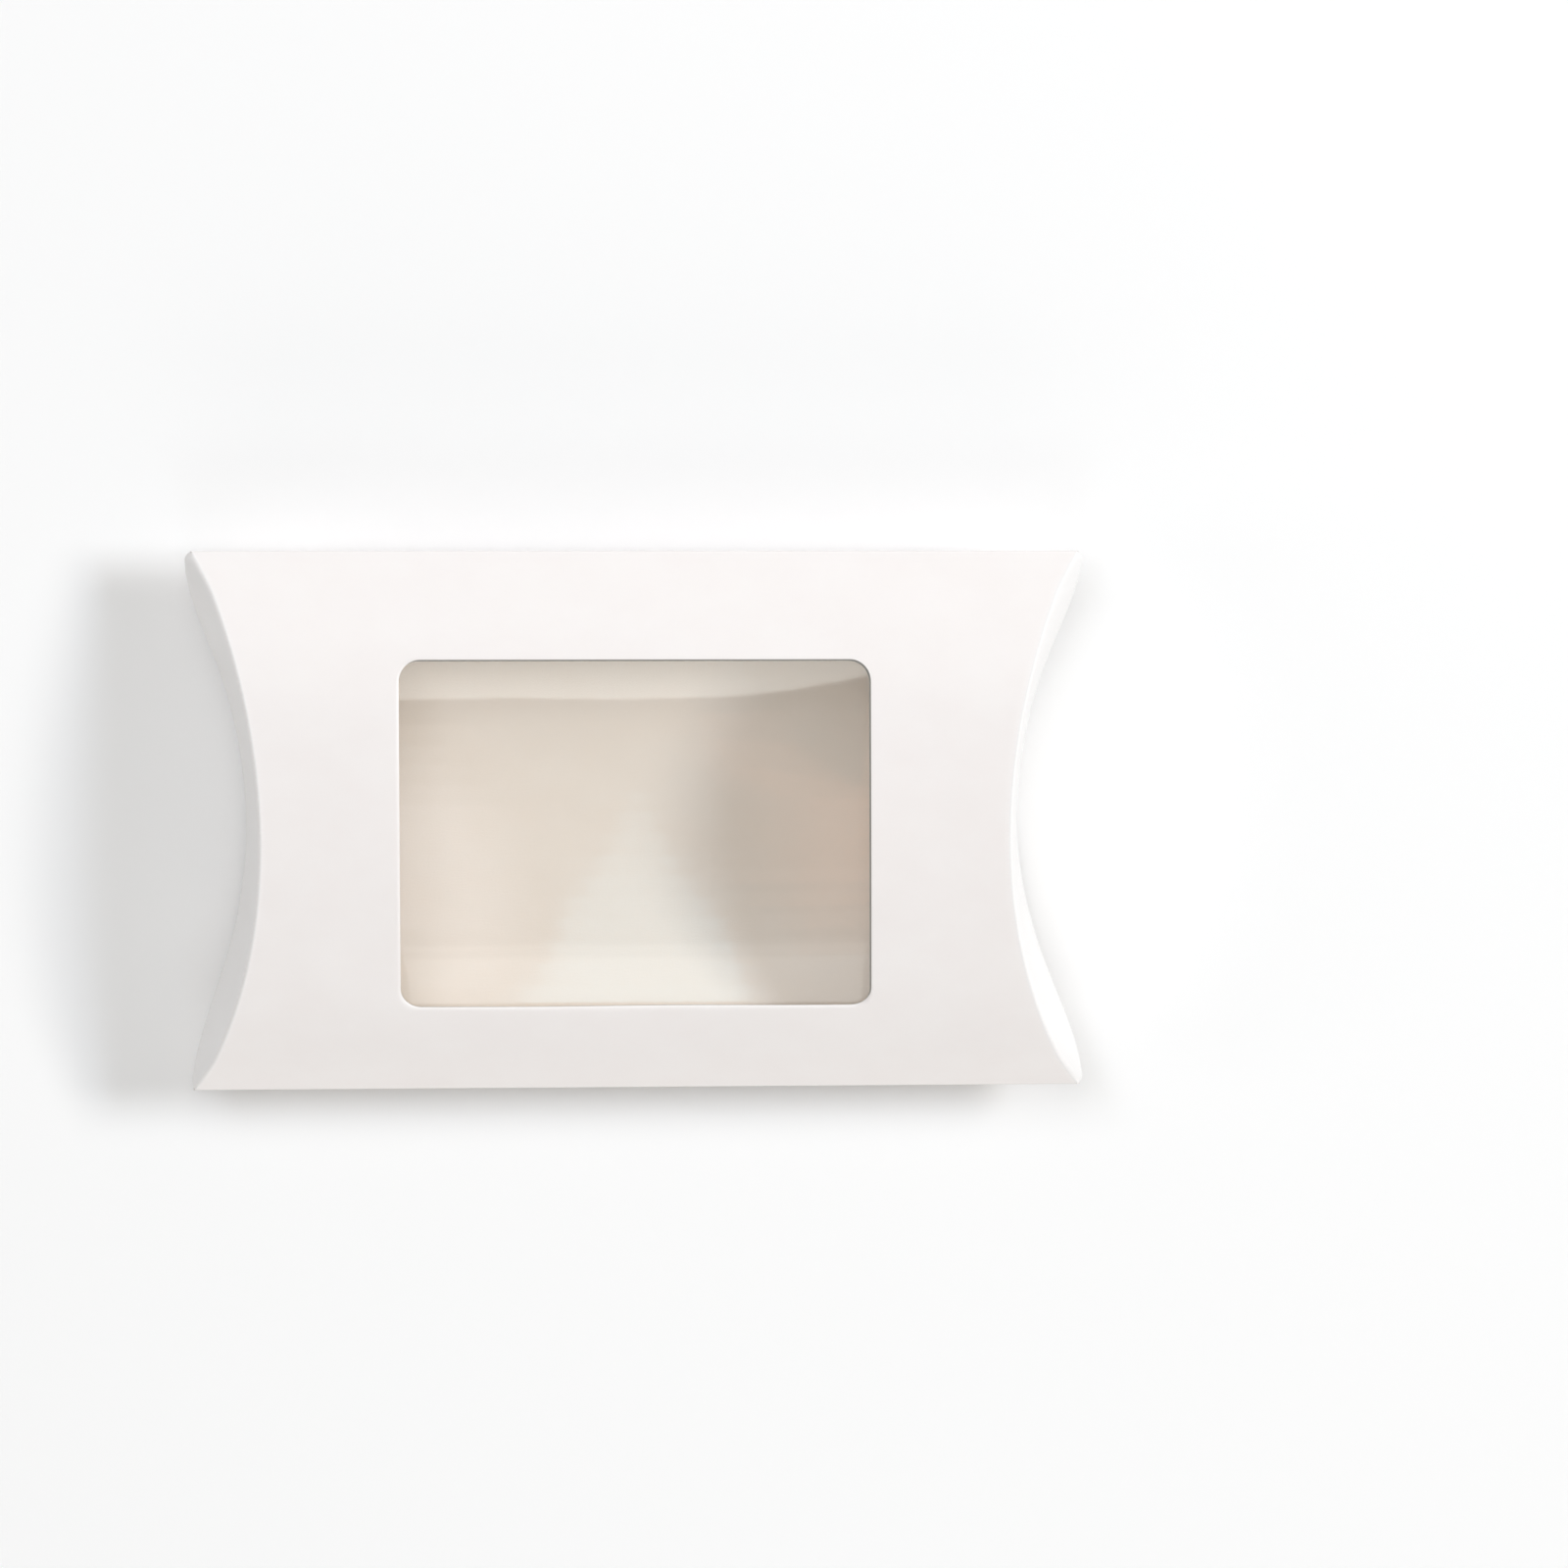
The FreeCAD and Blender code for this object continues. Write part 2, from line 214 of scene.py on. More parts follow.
def face_point(sides, run, depth):
    """Section point of a face: run is positive towards +Y."""
    run = np.asarray(run, float)
    low_y, low_z = sides[0].section(np.maximum(-run, 0), depth)
    high_y, high_z = sides[1].section(np.maximum(run, 0), depth)
    return np.where(run < 0, -low_y, high_y), np.where(run < 0, low_z, high_z)


def run_at(breadth):
    """Run from the crown to a breadth."""
    return FACE_RADIUS * np.arcsin(np.asarray(breadth, float) / FACE_RADIUS)


def height_at(run):
    """Height of the plain face over the mid-plane, without its folds."""
    return FACE_RADIUS * np.cos(run / FACE_RADIUS) - FACE_DROP


def tip_reach(height):
    """How far a tip is drawn out past the line of its crease."""
    drawn = np.clip((TIP_REACH_FROM - height) / TIP_REACH_RUN, 0, 1)
    return TIP_REACH * drawn * drawn * (3 - 2 * drawn)


def crease_x(height):
    """An end crease from the middle of the box, at a height over the mid-plane."""
    return HALF_LENGTH - CREASE_LEAN * height + tip_reach(height)


def crease_round(height):
    """Run of the rounding of an end crease, which closes up in the tips."""
    return np.clip(ROUND_GROWTH * height + ROUND_LEAST, ROUND_LEAST, CREASE_ROUND)


def waviness(x, run):
    """Slow unevenness of handled board, along its normal."""
    broad = BROAD_WAVE * np.sin(x / BROAD_LENGTHS[0] + BROAD_PHASES[0])
    broad = broad * np.cos(run / BROAD_LENGTHS[1] + BROAD_PHASES[1])
    slant = SLANT_WAVE * np.sin(x / SLANT_LENGTHS[0] - run / SLANT_LENGTHS[1] + SLANT_PHASE)
    return broad + slant + SHORT_WAVE * np.cos(x / SHORT_LENGTHS[0] + run / SHORT_LENGTHS[1])


def calm_at_edges(x_end, x, run, reach):
    """1 in the field of a panel, 0 at its folds."""
    end = np.clip((x_end - np.abs(x)) / CALM_END, 0, 1)
    side = np.clip((reach - np.abs(run)) / CALM_SIDE, 0, 1)
    both = end * side
    return both * both * (3 - 2 * both)


def fold_wear(distance, width=FOLD_WEAR):
    """1 on a fold, 0 at a width from it."""
    return np.clip(1 - distance / width, 0, 1) ** 2


# Meshes
def shell(name, outer, inner, flat, wear, materials, ring=False, edge_slots=(CUT, CUT), end_slot=CUT,
          shade=None):
    """Closed shell between two grids of points, of which a ring's first axis is closed.

    The materials are the outside's, the inside's and the cut edge's. edge_slots are those of the first and
    last columns, and end_slot that of the first and last rows. A side on a crease takes the outside's.
    """
    rows, columns = outer.shape[:2]
    count = rows * columns
    points = np.concatenate([outer.reshape(-1, 3), inner.reshape(-1, 3)])
    points[:, 1] *= 1 + LEFT_SPREAD * (HALF_LENGTH - points[:, 0]) / (2 * HALF_LENGTH)
    points *= MM
    index = np.arange(count).reshape(rows, columns)
    faces, slots, kinds = [], [], []

    def quads(a, b, c, d, slot, kind):
        for corner in zip(a.ravel(), b.ravel(), c.ravel(), d.ravel()):
            faces.append([int(i) for i in corner])
            slots.append(slot)
            kinds.append(kind)

    after = np.roll(index, -1, axis=0) if ring else index[1:]
    now = index if ring else index[:-1]
    quads(now[:, :-1], after[:, :-1], after[:, 1:], now[:, 1:], OUTSIDE, OUTSIDE)
    quads(now[:, :-1] + count, now[:, 1:] + count, after[:, 1:] + count, after[:, :-1] + count,
          INSIDE, INSIDE)
    for line, slot in zip((0, -1), edge_slots):
        a, b = now[:, line], after[:, line]
        quads(a, a + count, b + count, b, slot, CUT)
    if not ring:
        for line in (0, -1):
            a, b = index[line, :-1], index[line, 1:]
            quads(a, b, b + count, a + count, end_slot, end_slot)
    mesh = bpy.data.meshes.new(name)
    mesh.from_pydata(points.tolist(), [], faces)
    for material in materials:
        mesh.materials.append(material)
    mesh.polygons.foreach_set("material_index", slots)
    blank = mesh.attributes.new("flat", "FLOAT_VECTOR", "POINT")
    both = np.concatenate([flat.reshape(-1, 3), flat.reshape(-1, 3) + (0, 0, INSIDE_LAYER)])
    blank.data.foreach_set("vector", both.astype(np.float32).ravel())
    add_values(mesh, "wear", wear)
    # Painted shade for the cut edge, carried as a value on each point
    if shade is not None:
        add_values(mesh, "shade", shade)
    tidy_normals(mesh, kinds)
    piece = bpy.data.objects.new(name, mesh)
    bpy.context.scene.collection.objects.link(piece)
    return piece


def add_values(mesh, name, values):
    """One number for each point, the same on both faces of the board."""
    attribute = mesh.attributes.new(name, "FLOAT", "POINT")
    attribute.data.foreach_set("value", np.concatenate([values.ravel()] * 2).astype(np.float32))


def tidy_normals(mesh, kinds):
    """Faces turned outward and shaded smooth, apart from the corners of the board."""
    work = bmesh.new()
    work.from_mesh(mesh)
    bmesh.ops.recalc_face_normals(work, faces=work.faces)
    work.to_mesh(mesh)
    work.free()
    mesh.polygons.foreach_set("use_smooth", [True] * len(mesh.polygons))
    mesh.update()
    sharp = sharp_between(mesh, kinds)
    edges = mesh.attributes.get("sharp_edge") or mesh.attributes.new("sharp_edge", "BOOLEAN", "EDGE")
    edges.data.foreach_set("value", sharp)
    mesh.update()


def sharp_between(mesh, kinds):
    """Edges between board face and cut edge, which shade as corners."""
    seen = {}
    for polygon in mesh.polygons:
        for key in polygon.edge_keys:
            seen.setdefault(key, set()).add(kinds[polygon.index])
    return [len(seen.get(tuple(sorted(edge.vertices)), ())) > 1 for edge in mesh.edges]


def lift(points, sign):
    """Heights over the mid-plane to the frame's heights, on the front (1) or back (-1)."""
    points = points.copy()
    points[..., 2] = MID_HEIGHT + sign * points[..., 2]
    return points


def rounded_outline(half, radius):
    """Closed outline of a rounded rectangle in plan, from the middle of its upper left corner, clockwise."""
    arcs = np.linspace(0, math.pi / 4, CORNER_POINTS)
    wide, high = half[0] - radius, half[1] - radius

    def side(length, straight):
        first = np.stack([-length - radius * np.sin(arcs[::-1]), radius * np.cos(arcs[::-1]) - radius], 1)
        last = np.stack([length + radius * np.sin(arcs), radius * np.cos(arcs) - radius], 1)
        middle = np.stack([np.linspace(-length, length, straight + 2)[1:-1], np.zeros(straight)], 1)
        return np.concatenate([first, middle, last])

    top = side(wide, ACROSS - 2 * CORNER_POINTS + 1)
    flank = side(high, ALONG - 2 * CORNER_POINTS + 1)
    parts = [
        np.stack([top[:, 0], half[1] + top[:, 1]], 1),
        np.stack([half[0] + flank[:, 1], -flank[:, 0]], 1),
        np.stack([-top[:, 0], -half[1] - top[:, 1]], 1),
        np.stack([-half[0] - flank[:, 1], flank[:, 0]], 1),
    ]
    return np.concatenate([part[:-1] for part in parts])


def front_panel(materials):
    """The panel round the window, in rings from the window's edge out to the creases and folds."""
    window = rounded_outline(WINDOW_HALF, WINDOW_RADIUS)
    window[:, 1] += WINDOW_SHIFT
    inner_run = run_at(window[:, 1])
    low, high = -FRONT[0].reach, FRONT[1].reach
    share = np.linspace(0, 1, ACROSS + 1)[:-1]
    fall = np.linspace(0, 1, ALONG + 1)[:-1]
    fall = fall - TIP_CROWDING * np.sin(2 * math.pi * fall) / (2 * math.pi)

    def end_of(run):
        height = face_point(FRONT, run, 0.0)[1]
        return crease_x(height) - crease_round(height)

    # Outline of the panel, point for point with the window's
    top_run, low_run = np.full(ACROSS, high), np.full(ACROSS, low)
    right_run, left_run = high + (low - high) * fall, low + (high - low) * fall
    top_end, low_end = float(end_of(high)), float(end_of(low))
    outer_x = np.concatenate([-top_end + 2 * top_end * share, end_of(right_run),
                              low_end - 2 * low_end * share, -end_of(left_run)])
    outer_run = np.concatenate([top_run, right_run, low_run, left_run])
    # Rings between the two outlines
    fold = (high - TAB_FOLD.flat) / (high - run_at(WINDOW_HALF[1]))
    rings = np.concatenate([WINDOW_RINGS, np.linspace(FIELD_START, 1 - FIELD_END * fold, FIELD_RINGS),
                            1 - fold * np.array(FOLD_RINGS)])
    x = window[:, :1] + (outer_x[:, None] - window[:, :1]) * rings
    run = inner_run[:, None] + (outer_run[:, None] - inner_run[:, None]) * rings
    y_out, z_out = face_point(FRONT, run, 0.0)
    y_in, z_in = face_point(FRONT, run, BOARD)
    angle = run / FACE_RADIUS
    y_normal, z_normal = np.sin(angle), np.cos(angle)
    x_end = end_of(run)
    wave = waviness(x, run) * calm_at_edges(x_end, x, run, high)
    # Cut edge of the window, which leans in on two sides and is rolled over on the others; where it leans,
    # its colour is painted dark as shade
    gap = np.hypot(x - x[:, :1], run - run[:, :1])
    forward = np.roll(window, -1, axis=0) - np.roll(window, 1, axis=0)
    forward /= np.linalg.norm(forward, axis=-1, keepdims=True)
    away = np.stack([-forward[:, 1], forward[:, 0]], -1)
    lean = np.clip(away @ np.array(WINDOW_LEAN), 0, 1)[:, None]
    low_side = np.clip(-away[:, 1:], 0, 1)
    rolled = (WINDOW_ROLL + (WINDOW_ROLL_LOW - WINDOW_ROLL) * low_side) * (1 - lean)
    roll = rolled * np.clip(1 - gap / WINDOW_ROLL_RUN, 0, 1) ** 2
    outer = np.stack([x, y_out + (wave - roll) * y_normal, z_out + (wave - roll) * z_normal], -1)
    inner = np.stack([x, y_in + wave * y_normal, z_in + wave * z_normal], -1)
    bevel = WINDOW_BEVEL * lean * np.clip(1 - gap / WINDOW_BEVEL_RUN, 0, 1)
    outward = np.stack([away[:, 0], away[:, 1] * z_normal[:, 0], -away[:, 1] * y_normal[:, 0]], -1)
    inner -= bevel[..., None] * outward[:, None]
    flat = np.stack([x, run, np.zeros_like(x)], -1)
    wear = np.maximum(fold_wear(x_end - np.abs(x)), fold_wear(np.minimum(high - run, run - low)))
    wear = np.maximum(wear, WINDOW_WEAR_SHARE * fold_wear(gap, WINDOW_WEAR))
    # Painted shade: the share of lean also darkens the cut edge's colour, on the sides that face away from
    # the lamps
    shade = np.repeat(lean, len(rings), 1)
    return shell("front_board", lift(outer, 1), lift(inner, 1), flat, wear, materials, ring=True,
                 edge_slots=(CUT, OUTSIDE), shade=shade)


def back_panel(materials):
    """The plain panel that the box lies on, between the long fold and its cut edge."""
    low, high = -BACK[0].reach, BACK[1].reach
    runs = np.concatenate([np.linspace(low, -LONG_FOLD.flat, BACK_FOLD_LINES)[:-1],
                           np.linspace(-LONG_FOLD.flat, high, BACK_LINES)])
    height = face_point(BACK, runs, 0.0)[1]
    x_end = crease_x(height) - INNER_STEP - crease_round(height)
    spread = np.linspace(-1, 1, BACK_COLUMNS)
    x = x_end[:, None] * spread
    run = np.repeat(runs[:, None], len(spread), 1)
    y_out, z_out = face_point(BACK, run, 0.0)
    y_in, z_in = face_point(BACK, run, BOARD)
    angle = run / FACE_RADIUS
    wave = waviness(x + BACK_WAVE_SHIFT[0], run + BACK_WAVE_SHIFT[1])
    wave = wave * calm_at_edges(x_end[:, None], x, run, high)
    wave = np.minimum(wave, FACE_RADIUS - FACE_RADIUS * np.cos(angle))    # none of it below the table
    outer = np.stack([x, y_out + wave * np.sin(angle), z_out + wave * np.cos(angle)], -1)
    inner = np.stack([x, y_in + wave * np.sin(angle), z_in + wave * np.cos(angle)], -1)
    flat = np.stack([x, run + BACK_PLACE, np.zeros_like(x)], -1)
    wear = np.maximum(fold_wear(x_end[:, None] - np.abs(x)), fold_wear(run - low))
    return shell("back_board", lift(outer, -1), lift(inner, -1), flat, wear, materials,
                 edge_slots=(OUTSIDE, OUTSIDE))


def end_bulge(breadth, end):
    """How far a closed end flap swells past its crease, on the left (-1) or right (1) end."""
    middle, growth, upward = END_SWELL[end]
    width = np.abs(breadth)
    blunt = np.clip((width - BLUNT_FROM) / BLUNT_RUN, 0, 1)
    return (middle + growth * width ** 2) * (1 + upward * breadth / MEET_BREADTH) * (1 - blunt ** 2)


def swell(share):
    """Shape of that bulge down the depth of a flap: a straight lean out, then a turn back in."""
    rise = np.clip(share / SWELL_TOP, 0, 1)
    fall = np.clip((share - SWELL_TOP) / (1 - SWELL_TOP), 0, 1)
    lean_out = SWELL_LEAN * rise - (SWELL_LEAN - 1) * rise ** SWELL_TURN
    return np.where(share < SWELL_TOP, lean_out, 1 - SWELL_RETURN * fall ** 2)


def grid_normals(points):
    """Unit normals of a grid of points."""
    along = np.gradient(points, axis=0)
    down = np.gradient(points, axis=1)
    normal = np.cross(along, down)
    return normal / np.maximum(np.linalg.norm(normal, axis=-1, keepdims=True), 1e-9)


def flap_grid(runs, sides, crease, total, bulge, from_front):
    """Outer face of a flap: the rounding over its crease, then its depth down to the free edge."""
    y, height = face_point(sides, runs, 0.0)
    rounding = crease_round(height)
    first = np.minimum(rounding, ROLL_SHARE * total)

    def at(depth):
        share = np.clip(depth / (2 * height), 0, 1)
        out = swell(share) if from_front else swell(1 - share) - swell(1.0)
        return np.stack([crease + bulge * out, y, height - depth], -1)

    start = np.stack([crease - rounding, y, height], -1)
    corner = np.stack([crease, y, height], -1)
    begin = at(first)
    lines = []
    for t in np.linspace(0, 1, ROLL_STEPS + 1):
        lines.append((1 - t) ** 2 * start + 2 * t * (1 - t) * corner + t ** 2 * begin)
    for t in np.linspace(0, 1, FLAP_ROWS + 1)[1:]:
        lines.append(at(first + (total - first) * t))
    grid = np.stack(lines, 1)
    step = np.linalg.norm(np.diff(grid, axis=1), axis=-1)
    depth = np.concatenate([np.zeros((len(runs), 1)), np.cumsum(step, 1)], 1)
    return grid, depth


def flap(name, end, outer_flap, materials):
    """A lens-shaped end flap, on the front's crease (outer) or the back's (inner)."""
    sides = FRONT if outer_flap else BACK
    inner_end = run_at(INNER_FLAP_REACH)
    ends = (-sides[0].flat, sides[1].flat) if outer_flap else (-inner_end, inner_end)
    turn_in = TIP_ROUND * (1 - np.cos(np.linspace(0, math.pi / 2, FLAP_TIP_LINES)[:-1]))
    runs = np.concatenate([ends[0] + turn_in,
                           np.linspace(ends[0] + TIP_ROUND, ends[1] - TIP_ROUND, FLAP_LINES),
                           ends[1] - turn_in[::-1]])
    y, height = face_point(sides, runs, 0.0)
    if outer_flap:
        crease = crease_x(height)
        total = 2 * height - np.minimum(OUTER_FLAP_SETBACK, SETBACK_SHARE * height)
        tip = np.clip(np.minimum(runs - ends[0], ends[1] - runs) / TIP_ROUND, 0, 1)
        bulge = (end_bulge(y, end) - tip_reach(height)) * np.sqrt(1 - (1 - tip) ** 2)
    else:
        crease = crease_x(height) - INNER_STEP
        tapered = INNER_TIP_DEPTH + INNER_SIDE_TAPER * (INNER_FLAP_REACH - np.abs(y))
        total = np.minimum(height + INNER_FLAP_RISE, tapered)
        bulge = np.maximum(INNER_BULGE_SHARE * end_bulge(y, end) - tip_reach(height), 0)
    grid, depth = flap_grid(runs, sides, crease, total, bulge, outer_flap)
    shift = OUTER_WAVE_SHIFT if outer_flap else INNER_WAVE_SHIFT
    tremor = waviness(y[:, None] * FLAP_WAVE_SCALE[0] + shift[0], depth * FLAP_WAVE_SCALE[1] + shift[1])
    quiet = np.clip(depth / FLAP_CALM[0], 0, 1) * np.clip((total[:, None] - depth) / FLAP_CALM[1], 0, 1)
    grid[..., 0] += FLAP_WAVE * tremor * quiet
    sign = 1 if outer_flap else -1
    grid = lift(grid, sign)
    grid[..., 0] *= end
    # Way through the board: along its normal, but set in the tips, where the normals turn about
    normal = grid_normals(grid)
    outward = np.sign((normal[..., 0] * end).mean())
    board = CREASE_BOARD + (BOARD - CREASE_BOARD) * np.clip(depth - 2 * CREASE_ROUND, 0, 1)
    board = np.minimum(board, TIP_BOARD + TIP_GROWTH * total[:, None])
    down = np.array((0.0, 0.0, -sign))
    past = np.clip(np.arange(grid.shape[1]) / ROLL_STEPS, 0, 1)[None, :, None]
    straight = down + (np.array(TIP_INWARD) * (-end, 0, -sign) - down) * past
    wide = np.clip(total / TIP_DEPTH - 1, 0, 1)[:, None, None]
    inward = straight - (normal * outward + straight) * wide
    inward /= np.linalg.norm(inward, axis=-1, keepdims=True)
    inner = grid + board[..., None] * inward
    flat = np.stack([end * (FLAP_PLACE + depth), np.repeat(runs[:, None], depth.shape[1], 1),
                     np.full_like(depth, OUTER_FLAP_LAYER if outer_flap else INNER_FLAP_LAYER)], -1)
    wear = fold_wear(np.abs(depth - CREASE_ROUND), CREASE_WEAR)
    return shell(name, grid, inner, flat, wear, materials, edge_slots=(OUTSIDE, CUT), end_slot=OUTSIDE)


def layer_points(x, run, size):
    """Points of a layer along a face, at a radius about the face's axis."""
    angle = run / FACE_RADIUS
    return np.stack([x, size * np.sin(angle), size * np.cos(angle) - FACE_DROP], -1)


def patch(name, sign, x_end, runs, depth, thickness, materials, ripple=None):
    """A curved patch that lies along the inside of a face."""
    spread = np.linspace(-1, 1, PATCH_COLUMNS)
    x = np.repeat(np.asarray(x_end, float)[:, None], len(spread), 1) * spread
    run = np.repeat(np.asarray(runs, float)[:, None], len(spread), 1)
    wave = np.zeros_like(x) if ripple is None else ripple(x, run)
    outer = layer_points(x, run, FACE_RADIUS - depth + wave)
    inner = layer_points(x, run, FACE_RADIUS - (depth + thickness) + wave)
    flat = np.stack([x, run, np.full_like(x, PATCH_LAYER)], -1)
    return shell(name, lift(outer, sign), lift(inner, sign), flat, np.zeros_like(x), materials)


def window_glue(materials):
    """Frame of adhesive between the film and the front panel."""
    first, last = (rounded_outline(half, WINDOW_RADIUS) for half in (GLUE_INNER, GLUE_OUTER))
    rings = np.linspace(0, 1, GLUE_RINGS)
    plan = first[:, None] + (last - first)[:, None] * rings[None, :, None]
    x, run = plan[..., 0], run_at(plan[..., 1])
    outer = layer_points(x, run, FACE_RADIUS - GLUE_DEPTH)
    inner = layer_points(x, run, FACE_RADIUS - (GLUE_DEPTH + GLUE_THICKNESS))
    flat = np.stack([x, run, np.full_like(run, WINDOW_GLUE_LAYER)], -1)
    return shell("window_adhesive", lift(outer, 1), lift(inner, 1), flat, np.zeros_like(run), materials,
                 ring=True)


def glue_tab(materials):
    """Tab of the front panel, folded inside the back panel."""
    low = run_at(TAB_EDGE)
    high = FACE_RADIUS * math.acos((FACE_DROP - TAB_FOLD_HEIGHT) / (FACE_RADIUS - TAB_DEPTH))
    runs = np.linspace(low, high, TAB_LINES)
    x_end = crease_x(height_at(runs)) - TAB_END_GAP
    return patch("glue_tab_board", -1, x_end, runs, TAB_DEPTH, BOARD, materials)


def seam_glue(materials):
    """Strip of adhesive between the tab and the back panel."""
    runs = np.linspace(run_at(SEAM_GLUE_SPAN[0]), run_at(SEAM_GLUE_SPAN[1]), SEAM_LINES)
    x_end = crease_x(height_at(runs)) - SEAM_GLUE_END_GAP
    return patch("seam_adhesive", -1, x_end, runs, SEAM_GLUE_DEPTH, GLUE_THICKNESS, materials)


def film_ripple(x, run):
    """Unevenness of the glued film: slight waves, a dip at its upper right and a rise along its bottom."""
    waves = FILM_WAVE * waviness(x * FILM_WAVE_SCALE[0] + FILM_WAVE_SHIFT[0],
                                 run * FILM_WAVE_SCALE[1] + FILM_WAVE_SHIFT[1])
    rightward = np.clip(x / WINDOW_HALF[0], 0, 1) ** 2
    upward = np.sin(math.pi * np.clip((run - DIP_FROM) / (DIP_TO - DIP_FROM), 0, 1))
    held = np.clip((GLUE_OUTER[0] - x) / (GLUE_OUTER[0] - WINDOW_HALF[0]), 0, 1)
    downward = np.clip((-run - RISE_FROM) / (RISE_TOP - RISE_FROM), 0, 1)
    stuck = np.clip((RISE_END + run) / (RISE_END - RISE_TOP), 0, 1)
    middle = np.clip((GLUE_INNER[0] - np.abs(x)) / (GLUE_INNER[0] - WINDOW_HALF[0]), 0, 1)
    return waves - FILM_DIP * rightward * upward * held + FILM_RISE * downward ** 2 * stuck * middle


def film(materials):
    """Clear film behind the window."""
    runs = np.linspace(-run_at(FILM_HALF[1]), run_at(FILM_HALF[1]), FILM_LINES)
    return patch("window_film_sheet", 1, np.full(len(runs), FILM_HALF[0]), runs, FILM_DEPTH,
                 FILM_THICKNESS, materials, film_ripple)


# Materials
BOARD_WHITE = (0.88, 0.84, 0.822)
BOARD_WARM = (0.85, 0.795, 0.775)
# Painted shade: the flaps get a greyer, less pink copy of the board colours above
FLAP_SHADED_WHITE = (0.84, 0.826, 0.818)
FLAP_SHADED_WARM = (0.815, 0.79, 0.778)
BOARD_WORN = (0.90, 0.87, 0.855)
INSIDE_CREAM = (0.955, 0.868, 0.79)
INSIDE_FIBRE = (0.93, 0.82, 0.725)
CORE_PALE = (0.60, 0.585, 0.55)
CORE_DARK = (0.44, 0.43, 0.40)
CORE_PAINTED_SHADE = (0.34, 0.33, 0.31)    # painted shade on the cut edge at the upper right of the window
GLUE_PALE = (0.87, 0.84, 0.77)
GLUE_DARK = (0.80, 0.76, 0.68)
FLOOR_PALE = (0.945, 0.94, 0.936)
FLOOR_WHITE = (0.955, 0.95, 0.946)
FILM_CLEAR = (0.985, 0.985, 0.978)    # colour of what is seen through the film
FILM_GLOSS = (0.98, 0.98, 0.98)    # colour of what it mirrors
FILM_SHINE = 0.04          # share of light that the film turns back, seen straight on
FILM_GLANCE = 5.0          # how suddenly that grows towards a glancing view
MIX_FIRST, MIX_SECOND, MIX_RESULT = 6, 7, 2    # sockets of a Mix node for colours


class Nodes:
    """Shorthand for a material's node tree."""

    def __init__(self, name):
        self.material = bpy.data.materials.new(name)
        self.material.use_nodes = True
        self.tree = self.material.node_tree
        self.tree.nodes.clear()

    def add(self, kind, **settings):
        node = self.tree.nodes.new(kind)
        for key, value in settings.items():
            setattr(node, key, value)
        return node

    def link(self, source, target):
        self.tree.links.new(source, target)

    def value(self, name):
        """A number that the mesh carries for each point."""
        return self.add("ShaderNodeAttribute", attribute_name=name).outputs["Fac"]

    def flat(self, scale):
        """Place on the flat blank, in millimetres, stretched."""
        place = self.add("ShaderNodeAttribute", attribute_name="flat")
        mapping = self.add("ShaderNodeMapping")
        mapping.inputs["Scale"].default_value = scale
        self.link(place.outputs["Vector"], mapping.inputs["Vector"])
        return mapping.outputs["Vector"]

    def noise(self, scale, detail, roughness=0.55):
        texture = self.add("ShaderNodeTexNoise")
        texture.inputs["Scale"].default_value = 1.0
        texture.inputs["Detail"].default_value = detail
        texture.inputs["Roughness"].default_value = roughness
        self.link(self.flat(scale), texture.inputs["Vector"])
        return texture.outputs["Fac"]

    def ranged(self, value, source, target):
        """A value from one range to another, held at its ends."""
        node = self.add("ShaderNodeMapRange")
        for key, (low, high) in (("From", source), ("To", target)):
            node.inputs[f"{key} Min"].default_value = low
            node.inputs[f"{key} Max"].default_value = high
        self.link(value, node.inputs["Value"])
        return node.outputs["Result"]

    def maths(self, operation, first, second):
        node = self.add("ShaderNodeMath", operation=operation)
        for socket, value in zip(node.inputs, (first, second)):
            if isinstance(value, (int, float)):
                socket.default_value = value
            else:
                self.link(value, socket)
        return node.outputs[0]

    def mix(self, factor, first, second):
        node = self.add("ShaderNodeMix", data_type="RGBA")
        self.link(factor, node.inputs["Factor"])
        for socket, value in ((node.inputs[MIX_FIRST], first), (node.inputs[MIX_SECOND], second)):
            if isinstance(value, tuple):
                socket.default_value = (*value, 1.0)
            else:
                self.link(value, socket)
        return node.outputs[MIX_RESULT]

    def bump(self, height, strength, distance, after=None):
        node = self.add("ShaderNodeBump")
        node.inputs["Strength"].default_value = strength
        node.inputs["Distance"].default_value = distance
        self.link(height, node.inputs["Height"])
        if after is not None:
            self.link(after, node.inputs["Normal"])
        return node.outputs["Normal"]

    def principled(self, **values):
        node = self.add("ShaderNodeBsdfPrincipled")
        for key, value in values.items():
            node.inputs[key.replace("_", " ")].default_value = value
        return node

    def output(self, shader):
        node = self.add("ShaderNodeOutputMaterial")
        self.link(shader, node.inputs["Surface"])
        return self.material


